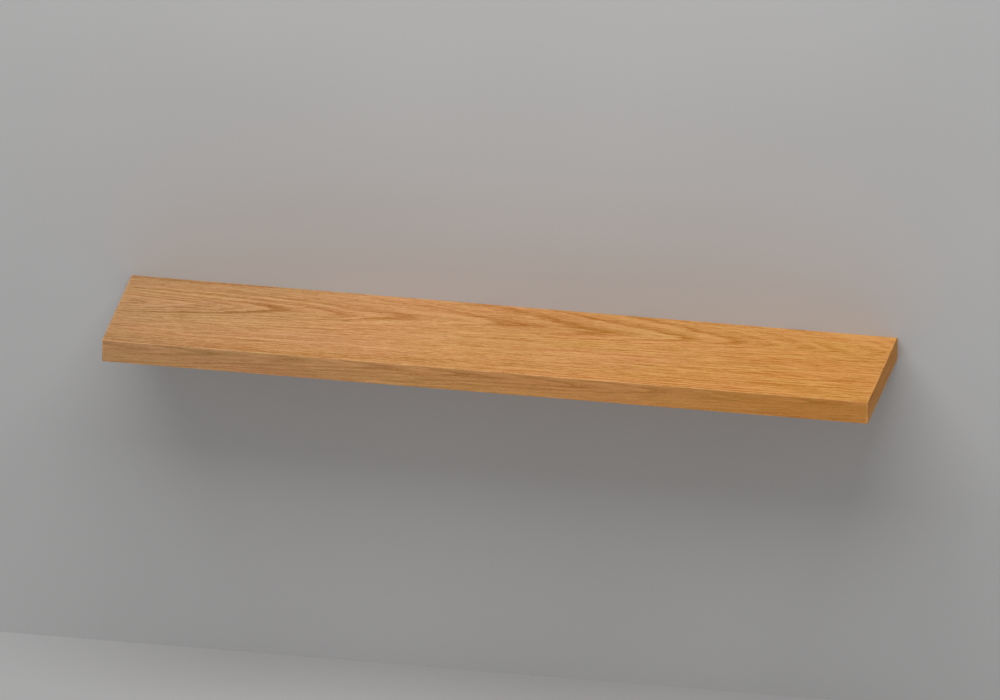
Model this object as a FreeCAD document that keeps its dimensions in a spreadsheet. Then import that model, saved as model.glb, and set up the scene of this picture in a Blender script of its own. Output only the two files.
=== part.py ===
"""A hollow, oak-veneered wall shelf on a concealed steel bracket, in millimetres.

The origin is the middle of the face that lies on the wall. +X runs along the shelf, +Y into the
wall and +Z up, so the shelf stands out along -Y. The bracket is a flat bar with three rods. It is
screwed to the wall, and the shelf slides onto the rods until its back edges meet the wall. Two
socket set screws, turned from below, then clamp the shelf to the outer rods.
"""
import FreeCAD, Part
import math
import os
import re

import Sketcher

# Driving sizes. Each can be changed by itself.
BOARD = {
    "shelf_length": 1000,
    "shelf_depth": 200,
    "shelf_thickness": 30,
    "veneer_thickness": 0.6,
    "skin_thickness": 3.4,
    "band_thickness": 1.5,
    "arris_radius": 0.5,
}
CORE = {
    "front_rail_depth": 30,
    "rear_rail_depth": 25,
    "end_rail_width": 30,
    "block_width": 50,
    "cell_width": 32,
    "paper_thickness": 0.6,
}
BRACKET = {
    "plate_thickness": 5,
    "plate_corner": 3,
    "plate_play": 1,
    "plate_end_play": 18.5,
    "plate_gap": 0.3,
    "screw_count": 6,
    "screw_inset": 25,
    "screw_hole": 5.5,
    "screw_head": 10.5,
    "rod_diameter": 12,
    "rod_inset": 150,
    "rod_setback": 13.5,
    "rod_chamfer": 1.5,
    "rod_fit": 0.08,
    "bore_spare": 3,
    "collar_height": 1.5,
    "collar_gap": 1,
}
LOCK = {
    "lock_from_wall": 60,
    "lock_diameter": 6,
    "lock_setback": 0.95,
    "lock_chamfer": 0.6,
    "lock_cup": 1.2,
    "lock_gap": 0.05,
    "lock_fit": 0.05,
    "key_width": 3,
    "key_depth": 3.5,
    "insert_wall": 1.45,
    "insert_setback": 0.5,
    "insert_gap": 1.5,
    "insert_chamfer": 0.5,
    "insert_fit": 0.05,
}

# Sizes that follow from the driving ones. A name may use those above it.
DERIVED = {
    "core_height": "shelf_thickness - 2 * (veneer_thickness + skin_thickness)",
    "panel_length": "shelf_length - 2 * band_thickness",
    "panel_depth": "shelf_depth - band_thickness",
    "recess_length": "panel_length - 2 * end_rail_width",
    "rail_back": "plate_thickness + plate_gap",
    "core_back": "rail_back + rear_rail_depth",
    "core_front": "panel_depth - front_rail_depth",
    "bay_depth": "core_front - core_back",
    "plate_height": "core_height - 2 * plate_play",
    "plate_length": "recess_length - 2 * plate_end_play",
    "screw_pitch": "(plate_length - 2 * screw_inset) / (screw_count - 1)",
    "rod_offset": "shelf_length / 2 - rod_inset",
    "rod_length": "core_front - rod_setback - plate_thickness",
    "bore_diameter": "rod_diameter + 2 * rod_fit",
    "collar_diameter": "rod_diameter + 2 * collar_height",
    "end_bay": "recess_length / 2 - rod_offset - block_width / 2",
    "inner_bay": "rod_offset - block_width",
    "cell_rows": "round(bay_depth / ((cell_width + paper_thickness) * cos(30)))",
    "row_pitch": "bay_depth / cell_rows",
    "end_bay_cells": "round(end_bay / (cell_width + paper_thickness))",
    "inner_bay_cells": "round(inner_bay / (cell_width + paper_thickness))",
    "lock_length": "shelf_thickness / 2 - lock_setback - rod_diameter / 2 - lock_gap",
    "lock_bore": "lock_diameter + 2 * lock_fit",
    "insert_diameter": "lock_bore + 2 * insert_wall",
    "insert_length": "shelf_thickness / 2 - insert_setback - rod_diameter / 2 - insert_gap",
    "insert_hole": "insert_diameter + 2 * insert_fit",
}

DRILL_POINT_ANGLE = 118
COUNTERSINK_ANGLE = 90

# A line's two ends and a circle's centre, and a sketch's own origin, as the sketcher numbers them.
START, END, CENTRE = range(1, 4)
ORIGIN = -1

LEAST_CUT_VOLUME = 1e-3
LEAST_PARALLEL_COSINE = 0.999

doc = FreeCAD.newDocument("floating_wall_shelf")
sheet = doc.addObject("Spreadsheet::Sheet", "Sizes")


def fill_sheet():
    """Writes every size into the sheet, with its name beside it."""
    cells = {name: str(value) for group in (BOARD, CORE, BRACKET, LOCK) for name, value in group.items()}
    cells.update({name: "=" + formula for name, formula in DERIVED.items()})
    for row, (name, content) in enumerate(cells.items(), start=1):
        sheet.set(f"A{row}", name)
        sheet.set(f"B{row}", content)
        sheet.setAlias(f"B{row}", name)
    doc.recompute()
    return cells


SIZE_NAME = re.compile(r"\b(" + "|".join(fill_sheet()) + r")\b")


def bind(item, **formulas):
    """Ties properties to formulas of the sheet's names. A double underscore stands for a dot."""
    for name, formula in formulas.items():
        item.setExpression(name.replace("__", "."), SIZE_NAME.sub(r"Sizes.\1", formula))


def place(piece, x="0", y="0", z="0"):
    """Ties a piece's place to formulas."""
    bind(piece, Placement__Base__x=x, Placement__Base__y=y, Placement__Base__z=z)


def new_body(name):
    """An empty body whose label names the sub-part."""
    body = doc.addObject("PartDesign::Body", name)
    body.Label = name
    return body


def origin_feature(body, role):
    """One of a body's own origin planes or axes."""
    return next(item for item in body.Origin.OriginFeatures if item.Role == role)


def new_sketch(body, name, plane):
    """A sketch on one of its body's origin planes."""
    sketch = body.newObject("Sketcher::SketchObject", f"{body.Name}_{name}")
    sketch.AttachmentSupport = [(origin_feature(body, plane), "")]
    sketch.MapMode = "FlatFace"
    return sketch


def hold_point(sketch, line, end, across, up):
    """Holds a point of a sketch at two formulas from its origin."""
    for kind, formula in (("DistanceX", across), ("DistanceY", up)):
        index = sketch.addConstraint(Sketcher.Constraint(kind, ORIGIN, START, line, end, 0))
        sketch.setExpression(f"Constraints[{index}]", SIZE_NAME.sub(r"Sizes.\1", formula))


def outline(sketch, *corners):
    """A closed outline of straight lines. It starts as a small ring, and its formulas draw it out."""
    first = sketch.GeometryCount
    count = len(corners)
    turns = [2 * math.pi * number / count for number in range(count)]
    ring = [FreeCAD.Vector(math.cos(turn), math.sin(turn), 0) for turn in turns]
    for number in range(count):
        sketch.addGeometry(Part.LineSegment(ring[number], ring[(number + 1) % count]))
    for number in range(count):
        after = first + (number + 1) % count
        sketch.addConstraint(Sketcher.Constraint("Coincident", first + number, END, after, START))
    for number, (across, up) in enumerate(corners):
        hold_point(sketch, first + number, START, across, up)


def rectangle(sketch, width, height):
    """A rectangle about the sketch's origin."""
    right, top = f"({width}) / 2", f"({height}) / 2"
    left, bottom = f"-({width}) / 2", f"-({height}) / 2"
    outline(sketch, (left, bottom), (right, bottom), (right, top), (left, top))


def circle(sketch, diameter, across="0", up="0"):
    """A circle whose centre is held from the sketch's origin."""
    index = sketch.addGeometry(Part.Circle(FreeCAD.Vector(), FreeCAD.Vector(0, 0, 1), 1))
    hold_point(sketch, index, CENTRE, across, up)
    size = sketch.addConstraint(Sketcher.Constraint("Diameter", index, 2))
    sketch.setExpression(f"Constraints[{size}]", SIZE_NAME.sub(r"Sizes.\1", diameter))


def pad(body, sketch, length, reverse=False):
    """Pads a sketch along its normal, or against it."""
    feature = body.newObject("PartDesign::Pad", f"{body.Name}_pad")
    feature.Profile = sketch
    feature.Reversed = reverse
    bind(feature, Length=length)
    doc.recompute()
    return feature


def revolve(body, sketch):
    """Turns a sketch once round its own upright axis."""
    feature = body.newObject("PartDesign::Revolution", f"{body.Name}_turned")
    feature.Profile = sketch
    feature.ReferenceAxis = (sketch, ["V_Axis"])
    feature.Angle = 360
    doc.recompute()
    return feature


def must_cut(body, feature, before):
    """Stops the build if a cut took nothing away."""
    doc.recompute()
    if feature.Shape.isNull() or before - feature.Shape.Volume < LEAST_CUT_VOLUME:
        raise RuntimeError(f"{feature.Name} cuts nothing from {body.Label}")
    return feature


def pocket(body, sketch, name, depth=None, reverse=False):
    """Cuts a sketch into the body against its normal, all the way through unless a depth is given."""
    before = body.Shape.Volume
    feature = body.newObject("PartDesign::Pocket", f"{body.Name}_{name}")
    feature.Profile = sketch
    feature.Reversed = reverse
    if depth:
        bind(feature, Length=depth)
    else:
        feature.Type = "ThroughAll"
    return must_cut(body, feature, before)


def drill(body, sketch, name, diameter, depth=None, reverse=False, cut="None", **cut_sizes):
    """Drills a sketch's circles, blind with a drill's point or right through, and cuts their mouths."""
    before = body.Shape.Volume
    feature = body.newObject("PartDesign::Hole", f"{body.Name}_{name}")
    feature.Profile = sketch
    doc.recompute()
    feature.Reversed = reverse
    feature.DepthType = "Dimension" if depth else "ThroughAll"
    feature.DrillPoint = "Angled" if depth else "Flat"
    feature.DrillPointAngle = DRILL_POINT_ANGLE
    bind(feature, Diameter=diameter)
    if depth:
        bind(feature, Depth=depth)
    feature.HoleCutType = cut
    if cut_sizes:
        feature.HoleCutCustomValues = True
        bind(feature, **cut_sizes)
    if cut == "Countersink":
        feature.HoleCutCountersinkAngle = COUNTERSINK_ANGLE
    return must_cut(body, feature, before)


def round_edges(body, name, radius, wanted):
    """Rounds the edges of the body that a test picks."""
    last = body.Tip
    names = [f"Edge{number}" for number, edge in enumerate(last.Shape.Edges, start=1) if wanted(edge)]
    feature = body.newObject("PartDesign::Fillet", f"{body.Name}_{name}")
    feature.Base = (last, names)
    bind(feature, Radius=radius)
    doc.recompute()
    return feature


def runs_along(edge, axis):
    """Whether a straight edge runs along a unit vector."""
    span = edge.Vertexes[-1].Point - edge.Vertexes[0].Point
    return abs(span.dot(axis)) > LEAST_PARALLEL_COSINE * span.Length


X_AXIS = FreeCAD.Vector(1, 0, 0)
Y_AXIS = FreeCAD.Vector(0, 1, 0)
Z_AXIS = FreeCAD.Vector(0, 0, 1)


def sheet_part(name, thickness, z, lock_holes):
    """A veneer or a skin: one flat sheet as large as the panel, with the lock holes if it has them."""
    body = new_body(name)
    section = new_sketch(body, "outline", "XY_Plane")
    rectangle(section, "panel_length", "panel_depth")
    pad(body, section, thickness)
    if lock_holes:
        holes = new_sketch(body, "lock_holes", "XY_Plane")
        for side in ("-rod_offset", "rod_offset"):
            circle(holes, "insert_hole", side, "panel_depth / 2 - lock_from_wall")
        pocket(body, holes, "lock_cut", reverse=True)
    place(body, y="-panel_depth / 2", z=z)
    return body


def sheets():
    """The two veneers and the two skins under them."""
    top = "shelf_thickness / 2"
    return [
        sheet_part("top_veneer", "veneer_thickness", f"{top} - veneer_thickness", False),
        sheet_part("top_skin", "skin_thickness", "core_height / 2", False),
        sheet_part("bottom_skin", "skin_thickness", "-core_height / 2 - skin_thickness", True),
        sheet_part("bottom_veneer", "veneer_thickness", f"-{top}", True),
    ]


def front_band():
    """The oak strip on the front edge, between the end strips."""
    body = new_body("front_edge_band")
    section = new_sketch(body, "section", "XZ_Plane")
    rectangle(section, "panel_length", "shelf_thickness")
    strip = pad(body, section, "band_thickness")
    middle = strip.Shape.BoundBox.Center
    round_edges(
        body,
        "arris",
        "arris_radius",
        lambda edge: runs_along(edge, X_AXIS) and edge.CenterOfMass.y < middle.y,
    )
    place(body, y="-panel_depth")
    return body


def end_band(name, side):
    """The oak strip on one end, which also covers the end of the front strip. Side is 1 or -1."""
    body = new_body(name)
    section = new_sketch(body, "section", "YZ_Plane")
    rectangle(section, "shelf_depth", "shelf_thickness")
    strip = pad(body, section, "band_thickness", reverse=side < 0)
    middle = strip.Shape.BoundBox.Center

    def shows(edge):
        outside = side * (edge.CenterOfMass.x - middle.x) > 0
        at_front = edge.BoundBox.YMax < middle.y
        lengthways = runs_along(edge, Y_AXIS) and outside
        upright = runs_along(edge, Z_AXIS) and outside and at_front
        across = runs_along(edge, X_AXIS) and at_front
        return lengthways or upright or across

    round_edges(body, "arris", "arris_radius", shows)
    place(body, x="panel_length / 2" if side > 0 else "-panel_length / 2", y="-shelf_depth / 2")
    return body


def rail(name, width, depth, x, y):
    """A plain timber strip of the frame, between the skins. x is its middle and y its back face."""
    body = new_body(name)
    section = new_sketch(body, "section", "XZ_Plane")
    rectangle(section, width, "core_height")
    pad(body, section, depth)
    place(body, x=x, y=y)
    return body


def rear_rail():
    """The strip in front of the wall plate, bored for the rods, with room for their weld collars."""
    body = rail("rear_rail", "recess_length", "rear_rail_depth", "0", "-rail_back")
    holes = new_sketch(body, "rod_holes", "XZ_Plane")
    for across in ("-rod_offset", "0", "rod_offset"):
        circle(holes, "bore_diameter", across)
    drill(
        body,
        holes,
        "rod_bores",
        "bore_diameter",
        reverse=True,
        cut="Counterbore",
        HoleCutDiameter="collar_diameter + 2 * collar_gap",
        HoleCutDepth="collar_height + collar_gap",
    )
    return body


def rod_block(name, x, lock_hole):
    """The rib that carries one rod in a blind bore, with a hole up to the rod for a lock."""
    body = rail(name, "block_width", "bay_depth", x, "-core_back")
    mouth = new_sketch(body, "rod_hole", "XZ_Plane")
    circle(mouth, "bore_diameter")
    drill(
        body,
        mouth,
        "rod_bore",
        "bore_diameter",
        depth="plate_thickness + rod_length + bore_spare - core_back",
        reverse=True,
    )
    if lock_hole:
        hole = new_sketch(body, "lock_hole", "XY_Plane")
        circle(hole, "insert_hole", up="core_back - lock_from_wall")
        pocket(body, hole, "lock_cut")
    return body


def frame():
    """The timber frame: two long rails, two end rails and three ribs for the rods."""
    end_middle = "(recess_length + end_rail_width) / 2"
    return [
        rail("front_rail", "panel_length", "front_rail_depth", "0", "-core_front"),
        rail("left_end_rail", "end_rail_width", "core_front", f"-{end_middle}", "0"),
        rail("right_end_rail", "end_rail_width", "core_front", end_middle, "0"),
        rear_rail(),
        rod_block("left_rod_block", "-rod_offset", True),
        rod_block("centre_rod_block", "0", False),
        rod_block("right_rod_block", "rod_offset", True),
    ]


def hexagon(sketch, pitch, across, up):
    """One cell of the honeycomb about a centre, with two sides square to the shelf's length."""
    side = f"({pitch} - paper_thickness) / 2"
    shoulder = "(row_pitch / 3 - paper_thickness * tan(30) / 2)"
    tip = "(2 * row_pitch / 3 - paper_thickness / cos(30) / 2)"
    outline(
        sketch,
        (f"{across} + {side}", f"{up} - {shoulder}"),
        (f"{across} + {side}", f"{up} + {shoulder}"),
        (across, f"{up} + {tip}"),
        (f"{across} - {side}", f"{up} + {shoulder}"),
        (f"{across} - {side}", f"{up} - {shoulder}"),
        (across, f"{up} - {tip}"),
    )


def honeycomb(name, width, cells, x):
    """Expanded paper honeycomb that fills one bay. Its cells are drawn out so that a whole number fits.

    The cut is two cells, one on the bay's corner and one set over by half a cell in the next row,
    which is repeated along the bay and across it.
    """
    body = new_body(name)
    section = new_sketch(body, "outline", "XY_Plane")
    outline(section, ("0", "0"), (width, "0"), (width, "bay_depth"), ("0", "bay_depth"))
    pad(body, section, "core_height")
    pitch = f"{width} / {cells}"
    pair = new_sketch(body, "cells", "XY_Plane")
    hexagon(pair, pitch, "0", "0")
    hexagon(pair, pitch, f"{pitch} / 2", "row_pitch")
    cut = pocket(body, pair, "cell_cut", reverse=True)
    pattern = body.newObject("PartDesign::LinearPattern", f"{body.Name}_pattern")
    pattern.Originals = [cut]
    pattern.Direction = (origin_feature(body, "X_Axis"), [""])
    pattern.Mode = "Spacing"
    pattern.Direction2 = (origin_feature(body, "Y_Axis"), [""])
    pattern.Mode2 = "Spacing"
    # Set from one copy, each new copy takes the even spacing.
    pattern.Occurrences2 = 1
    bind(pattern, Offset=pitch, Occurrences=f"{cells} + 1")
    bind(pattern, Offset2="2 * row_pitch", Occurrences2="floor(cell_rows / 2) + 1")
    body.Tip = pattern
    doc.recompute()
    place(body, x=x, y="-core_front", z="-core_height / 2")
    return body


def honeycombs():
    """The four bays between the end rails and the ribs."""
    rib_edge = "rod_offset + block_width / 2"
    return [
        honeycomb("honeycomb_1", "end_bay", "end_bay_cells", "-recess_length / 2"),
        honeycomb("honeycomb_2", "inner_bay", "inner_bay_cells", "-rod_offset + block_width / 2"),
        honeycomb("honeycomb_3", "inner_bay", "inner_bay_cells", "block_width / 2"),
        honeycomb("honeycomb_4", "end_bay", "end_bay_cells", rib_edge),
    ]


def wall_plate():
    """The flat bar behind the shelf: rounded corners and countersunk holes for the wall screws."""
    body = new_body("wall_plate")
    section = new_sketch(body, "section", "XZ_Plane")
    rectangle(section, "plate_length", "plate_height")
    pad(body, section, "plate_thickness")
    round_edges(body, "corners", "plate_corner", lambda edge: runs_along(edge, Y_AXIS))
    holes = new_sketch(body, "screw_hole", "XZ_Plane")
    bind(holes, AttachmentOffset__Base__z="plate_thickness")
    circle(holes, "screw_hole", "screw_inset - plate_length / 2")
    first = drill(body, holes, "screw_drill", "screw_hole", cut="Countersink", HoleCutDiameter="screw_head")
    pattern = body.newObject("PartDesign::LinearPattern", "wall_plate_screw_holes")
    pattern.Originals = [first]
    pattern.Direction = (origin_feature(body, "X_Axis"), [""])
    pattern.Mode = "Spacing"
    bind(pattern, Offset="screw_pitch", Occurrences="screw_count")
    body.Tip = pattern
    doc.recompute()
    return body


def support_rod(name, x):
    """A round rod with the collar that stud welding leaves at its root and a chamfered tip."""
    body = new_body(name)
    half = new_sketch(body, "profile", "XY_Plane")
    outline(
        half,
        ("0", "0"),
        ("collar_diameter / 2", "0"),
        ("rod_diameter / 2", "-collar_height"),
        ("rod_diameter / 2", "rod_chamfer - rod_length"),
        ("rod_diameter / 2 - rod_chamfer", "-rod_length"),
        ("0", "-rod_length"),
    )
    revolve(body, half)
    place(body, x=x, y="-plate_thickness")
    return body


def bracket():
    """The wall plate and its three rods."""
    return [
        wall_plate(),
        support_rod("left_support_rod", "-rod_offset"),
        support_rod("centre_support_rod", "0"),
        support_rod("right_support_rod", "rod_offset"),
    ]


def threaded_insert(name, x):
    """A brass sleeve for a lock, set in from the underside. Its thread is left out."""
    body = new_body(name)
    half = new_sketch(body, "profile", "XZ_Plane")
    outline(
        half,
        ("lock_bore / 2", "0"),
        ("insert_diameter / 2", "0"),
        ("insert_diameter / 2", "insert_length - insert_chamfer"),
        ("insert_diameter / 2 - insert_chamfer", "insert_length"),
        ("lock_bore / 2", "insert_length"),
    )
    revolve(body, half)
    place(body, x=x, y="-lock_from_wall", z="insert_setback - shelf_thickness / 2")
    return body


def locking_screw(name, x):
    """A socket set screw with a cup point, just short of the rod. Its thread is left out."""
    body = new_body(name)
    half = new_sketch(body, "profile", "XZ_Plane")
    outline(
        half,
        ("0", "0"),
        ("lock_diameter / 2 - lock_chamfer", "0"),
        ("lock_diameter / 2", "lock_chamfer"),
        ("lock_diameter / 2", "lock_length - lock_cup"),
        ("lock_diameter / 2 - lock_cup", "lock_length"),
        ("0", "lock_length - lock_cup / 2"),
    )
    revolve(body, half)
    socket = new_sketch(body, "socket", "XY_Plane")
    corners = [(f"key_width / 2 / cos(30) * cos({turn})", f"key_width / 2 / cos(30) * sin({turn})")
               for turn in range(0, 360, 60)]
    outline(socket, *corners)
    pocket(body, socket, "socket_cut", depth="key_depth", reverse=True)
    place(body, x=x, y="-lock_from_wall", z="-rod_diameter / 2 - lock_gap - lock_length")
    return body


def locks():
    """The two inserts and their screws, under the outer rods."""
    return [
        threaded_insert("left_threaded_insert", "-rod_offset"),
        threaded_insert("right_threaded_insert", "rod_offset"),
        locking_screw("left_locking_screw", "-rod_offset"),
        locking_screw("right_locking_screw", "rod_offset"),
    ]


def bands():
    """The three oak strips round the edges that show."""
    return [front_band(), end_band("left_edge_band", -1), end_band("right_edge_band", 1)]


def write(parts):
    """Checks every object and every sub-part, then writes one STEP file for each sub-part."""
    doc.recompute()
    for item in doc.Objects:
        if {"Invalid", "Error"} & set(item.State):
            raise RuntimeError(f"{item.Label} has failed: {item.State}")
    for part in parts:
        if part.Shape.isNull() or not part.Shape.isValid() or len(part.Shape.Solids) != 1:
            raise RuntimeError(f"{part.Label} is not one valid solid")
    os.makedirs("parts", exist_ok=True)
    for part in parts:
        part.Shape.exportStep(f"parts/{part.Label}.step")


write(sheets() + bands() + frame() + honeycombs() + bracket() + locks())
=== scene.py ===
"""The looks of an oak-veneered wall shelf on a hidden steel bracket.

Places in the scene are metres in the row frame. Lengths in the finishes, the sizes of the turned
pieces and every name that ends in _MM are in millimetres. A finish reads the piece's own
coordinates in millimetres, so its grain keeps its real size and moves with the piece. Colours are
written as they look on screen, 0 to 255.
"""
import math
from functools import reduce

import bmesh
import bpy
from mathutils import Matrix, Vector


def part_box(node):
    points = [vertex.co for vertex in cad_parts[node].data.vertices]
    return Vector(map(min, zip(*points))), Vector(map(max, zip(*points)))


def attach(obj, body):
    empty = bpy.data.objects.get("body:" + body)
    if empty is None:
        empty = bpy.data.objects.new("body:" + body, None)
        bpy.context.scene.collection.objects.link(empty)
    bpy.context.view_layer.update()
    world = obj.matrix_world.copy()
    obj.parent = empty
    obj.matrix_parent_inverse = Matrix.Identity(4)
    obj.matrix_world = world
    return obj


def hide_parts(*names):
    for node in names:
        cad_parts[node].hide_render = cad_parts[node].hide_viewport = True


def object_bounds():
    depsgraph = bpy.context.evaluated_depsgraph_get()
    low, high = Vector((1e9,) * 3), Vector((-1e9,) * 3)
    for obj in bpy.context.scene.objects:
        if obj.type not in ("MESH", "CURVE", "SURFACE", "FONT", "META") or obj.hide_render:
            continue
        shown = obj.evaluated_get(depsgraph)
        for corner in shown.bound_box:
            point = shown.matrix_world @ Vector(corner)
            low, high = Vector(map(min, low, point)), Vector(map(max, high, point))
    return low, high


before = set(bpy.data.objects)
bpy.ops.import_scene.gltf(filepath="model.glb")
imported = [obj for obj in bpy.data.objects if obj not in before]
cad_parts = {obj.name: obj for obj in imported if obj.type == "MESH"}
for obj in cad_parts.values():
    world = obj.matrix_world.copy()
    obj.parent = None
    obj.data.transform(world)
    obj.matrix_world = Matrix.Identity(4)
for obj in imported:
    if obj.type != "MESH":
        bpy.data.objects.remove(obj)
box_of_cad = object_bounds()

MM = 0.001
LENGTH_MM = (box_of_cad[1].x - box_of_cad[0].x) / MM
HALF_THICKNESS_MM = box_of_cad[1].z / MM
# How far a texture is moved along each coordinate from one seed to the next.
SEED_STEPS = (7.3, 3.1, 5.7)
RODS = ("left_support_rod", "centre_support_rod", "right_support_rod")


def box_mm(node):
    """A CAD node's lowest and highest corners, in millimetres."""
    return [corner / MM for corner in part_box(node)]


def root_of(rod):
    """The middle of a support rod's end on the wall plate."""
    low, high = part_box(rod)
    middle = (low + high) / 2
    return Vector((middle.x, high.y, middle.z))


def paint(red, green, blue):
    """A colour as it looks on screen, 0 to 255, made linear for the shader."""
    def linear(channel):
        share = channel / 255
        return share / 12.92 if share <= 0.04045 else ((share + 0.055) / 1.055) ** 2.4
    return (linear(red), linear(green), linear(blue), 1.0)


class Finish:
    """A material whose nodes are made by short calls. A value is a number, a tuple or a socket."""

    def __init__(self, name):
        self.material = bpy.data.materials.new(name)
        self.material.use_nodes = True
        self.nodes = self.material.node_tree.nodes
        self.links = self.material.node_tree.links
        self.nodes.clear()
        place = self.nodes.new("ShaderNodeTexCoord").outputs["Object"]
        self.place = self.vector("SCALE", place, scale=1 / MM)
        axes = self.nodes.new("ShaderNodeSeparateXYZ")
        self.links.new(self.place, axes.inputs[0])
        self.x, self.y, self.z = axes.outputs

    def give(self, socket, value):
        """Links a socket to another, or sets it."""
        if isinstance(value, bpy.types.NodeSocket):
            self.links.new(value, socket)
        else:
            socket.default_value = value

    def math(self, operation, *values):
        node = self.nodes.new("ShaderNodeMath")
        node.operation = operation
        for socket, value in zip(node.inputs, values):
            self.give(socket, value)
        return node.outputs[0]

    def chain(self, operation, values):
        """One value out of several, drawn together two at a time."""
        return reduce(lambda total, value: self.math(operation, total, value), values)

    def add(self, *values):
        return self.chain("ADD", values)

    def times(self, *values):
        return self.chain("MULTIPLY", values)

    def smallest(self, *values):
        return self.chain("MINIMUM", values)

    def less(self, first, second):
        return self.math("SUBTRACT", first, second)

    def vector(self, operation, first, second=None, scale=None):
        node = self.nodes.new("ShaderNodeVectorMath")
        node.operation = operation
        self.give(node.inputs[0], first)
        if second is not None:
            self.give(node.inputs[1], second)
        if scale is not None:
            self.give(node.inputs["Scale"], scale)
        return node.outputs["Value"] if operation in ("LENGTH", "DISTANCE") else node.outputs["Vector"]

    def point(self, x=0.0, y=0.0, z=0.0):
        """One vector of three values."""
        node = self.nodes.new("ShaderNodeCombineXYZ")
        for socket, value in zip(node.inputs, (x, y, z)):
            self.give(socket, value)
        return node.outputs[0]

    def fit(self, value, low, high, to_low=0.0, to_high=1.0, smooth=False):
        """Maps a range of a value onto another, and clamps it there."""
        node = self.nodes.new("ShaderNodeMapRange")
        node.interpolation_type = "SMOOTHSTEP" if smooth else "LINEAR"
        for socket, number in zip(node.inputs[:5], (value, low, high, to_low, to_high)):
            self.give(socket, number)
        return node.outputs[0]

    def fade(self, value, low, high):
        """1 up to the low end of a range of a value, falling smoothly to 0 at its high end."""
        return self.fit(value, low, high, 1.0, 0.0, smooth=True)

    def stretched(self, place, lengths, seed):
        """Coordinates for a texture whose marks have these lengths, moved to the seed's own place."""
        scaled = self.vector("MULTIPLY", place, tuple(1 / length for length in lengths))
        return self.vector("ADD", scaled, tuple(seed * step for step in SEED_STEPS))

    def noise(self, place, lengths, seed=0, detail=2.0, roughness=0.5, distortion=0.0):
        """Noise from 0 to 1 whose patches have these lengths along the three coordinates."""
        node = self.nodes.new("ShaderNodeTexNoise")
        self.give(node.inputs["Vector"], self.stretched(place, lengths, seed))
        for socket, number in (("Scale", 1.0), ("Detail", detail), ("Roughness", roughness),
                               ("Distortion", distortion)):
            node.inputs[socket].default_value = number
        return node.outputs[0]

    def specks(self, place, lengths, seed, full, gone):
        """1 at scattered points whose spacing has these lengths, and 0 away from them.

        full and gone are the distances between which it falls, as shares of the spacing.
        """
        node = self.nodes.new("ShaderNodeTexVoronoi")
        self.give(node.inputs["Vector"], self.stretched(place, lengths, seed))
        node.inputs["Scale"].default_value = 1.0
        return self.fit(node.outputs["Distance"], full, gone, 1.0, 0.0)

    def curve(self, value, points):
        """A value from 0 to 1 read off a line through points."""
        node = self.nodes.new("ShaderNodeFloatCurve")
        line = node.mapping.curves[0]
        line.points[0].location = points[0]
        line.points[1].location = points[-1]
        for point in points[1:-1]:
            line.points.new(*point)
        for point in line.points:
            point.handle_type = "VECTOR"
        node.mapping.update()
        self.give(node.inputs["Value"], value)
        return node.outputs[0]

    def line_through(self, place, points):
        """A value read off a line through points of (place, value)."""
        last, most = points[-1][0], max(value for _, value in points)
        shares = [(at / last, value / most) for at, value in points]
        return self.times(self.curve(self.math("DIVIDE", place, float(last)), shares), float(most))

    def blend(self, share, first, second, how="MIX"):
        """The first colour at a share of 0 and the second at 1."""
        node = self.nodes.new("ShaderNodeMix")
        node.data_type = "RGBA"
        node.blend_type = how
        self.give(node.inputs[0], share)
        self.give(node.inputs[6], first)
        self.give(node.inputs[7], second)
        return node.outputs[2]

    def edge(self, node, width_mm):
        """1 on the edges of a CAD node's box, falling to 0 at a width from them."""
        first, second, third = (
            self.smallest(self.less(value, low), self.less(high, value))
            for value, low, high in zip((self.x, self.y, self.z), *box_mm(node))
        )
        nearer = self.smallest(first, second)
        further = self.math("MAXIMUM", first, second)
        middle = self.math("MAXIMUM", nearer, self.smallest(further, third))
        return self.fade(middle, 0.0, width_mm)

    def bump(self, height, depth_mm):
        """A normal for a relief in which a height of 1 is this deep."""
        node = self.nodes.new("ShaderNodeBump")
        node.inputs["Strength"].default_value = 1.0
        node.inputs["Distance"].default_value = depth_mm * MM
        self.give(node.inputs["Height"], height)
        return node.outputs[0]

    def skin(self, colour, roughness, normal, **fixed):
        """A Principled shader. What is fixed is set on the shader's own sockets."""
        shader = self.nodes.new("ShaderNodeBsdfPrincipled")
        self.give(shader.inputs["Base Color"], colour)
        self.give(shader.inputs["Roughness"], roughness)
        self.links.new(normal, shader.inputs["Normal"])
        for socket, value in fixed.items():
            shader.inputs[socket.replace("_", " ")].default_value = value
        return shader.outputs[0]

    def close(self, surface):
        """Ends the material in a shader."""
        end = self.nodes.new("ShaderNodeOutputMaterial")
        self.links.new(surface, end.inputs["Surface"])
        return self.material

    def shade(self, colour, roughness, normal, **fixed):
        """Ends the material in a Principled shader of its own."""
        return self.close(self.skin(colour, roughness, normal, **fixed))


# The rings of a figure go on this far along the middle line.
FURTHEST_TIP_MM = 6000
# The radius at the tip of a tongue.
TIP_RADIUS_MM = 3.0


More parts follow.
